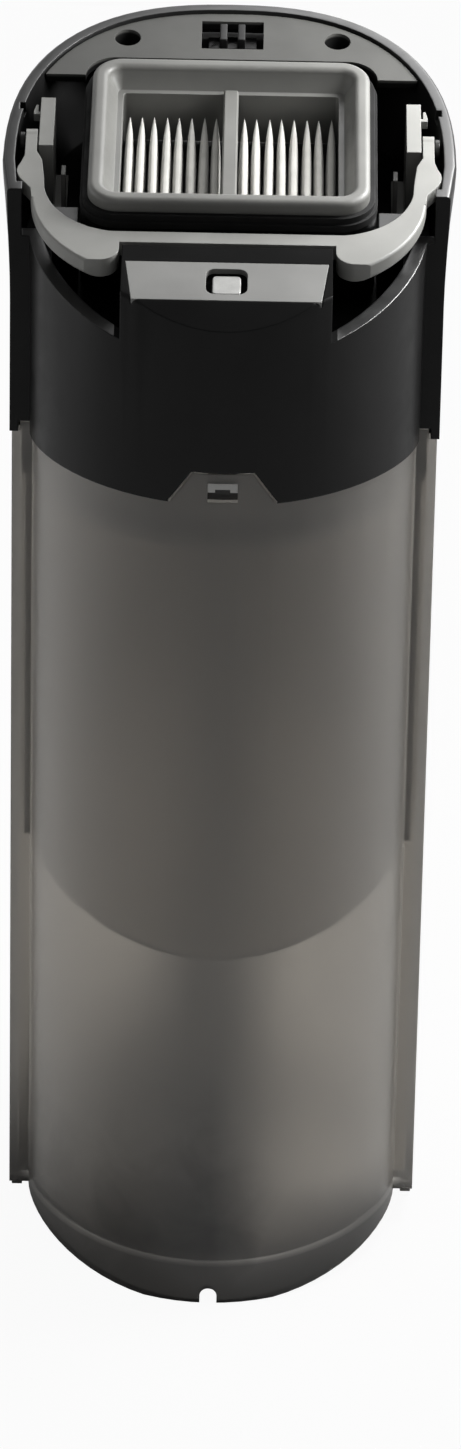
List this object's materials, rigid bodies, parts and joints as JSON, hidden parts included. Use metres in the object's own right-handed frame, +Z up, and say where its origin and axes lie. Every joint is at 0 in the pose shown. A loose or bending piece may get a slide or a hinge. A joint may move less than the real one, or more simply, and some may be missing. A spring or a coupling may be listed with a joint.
{
  "type": "dirty water tank",
  "caption": "Tall smoked dirty water tank with a black slanted head, a pleated filter set into its top and a carrying bail folded round the filter.",
  "frame": {"origin": "middle of the bounding box, on the surface that the tank stands on", "axes": "+Z up; -Y is the side with the rounded nose that goes into the machine; +X to the right when looking along +Y"},
  "size_m": [0.1182, 0.1302, 0.3262],
  "materials": {
    "smoked_tank": "smoked clear, glossy",
    "smoked_sleeve": "smoked, glossy",
    "black_plastic": "fine satin",
    "dark_plastic": "satin",
    "grey_plastic": "fine matte",
    "light_grey_plastic": "satin",
    "satin_plate": "satin paint",
    "bright_insert": "bright",
    "seal_rubber": "soft matte",
    "filter_fleece": "pleated fleece",
    "float_white": "satin",
    "steel": "bright"
  },
  "bodies": {
    "tank": {"tank_body": "smoked_tank", "riser_tube": "dark_plastic", "inlet_seal": "seal_rubber", "catch_clip": "light_grey_plastic"},
    "head": {"housing_shell": "black_plastic", "tray": "black_plastic", "tank_lid": "dark_plastic", "lid_gasket": "seal_rubber", "separator_sleeve": "smoked_sleeve", "float_cage": "dark_plastic", "filter_gasket": "seal_rubber", "deck_cover": "grey_plastic", "strike_plate": "satin_plate", "strike_insert": "bright_insert", "lug_left": "grey_plastic", "lug_right": "grey_plastic", "bail_pin_left": "black_plastic", "bail_pin_right": "black_plastic", "lid_screws": "steel"},
    "filter": {"filter_frame": "grey_plastic", "filter_media": "filter_fleece"},
    "float": {"float_ball": "float_white"},
    "bail": {"bail_handle": "grey_plastic"},
    "latch": {"release_button": "dark_plastic", "latch_hook": "black_plastic", "button_spring": "steel"}
  },
  "joints": [
    {"name": "head_lift", "type": "slide", "parent": "tank", "child": "head", "axis": [0, 0, 1], "range_m": [0, 0.145]},
    {"name": "filter_pull", "type": "slide", "parent": "head", "child": "filter", "axis": [0, -0.309, 0.9511], "range_m": [0, 0.028]},
    {"name": "float_rise", "type": "slide", "parent": "head", "child": "float", "axis": [0, 0, 1], "range_m": [0, 0.012]},
    {"name": "bail_fold", "type": "hinge", "parent": "head", "child": "bail", "pos_m": [0, 0.0093, 0.30497], "axis": [-1, 0, 0], "range_deg": [0, 105]},
    {"name": "button_press", "type": "slide", "parent": "head", "child": "latch", "axis": [0, -1, 0], "range_m": [0, 0.003], "stiffness_N_per_m": 400, "springref_m": -0.004, "deforming": ["button_spring"]}
  ]
}
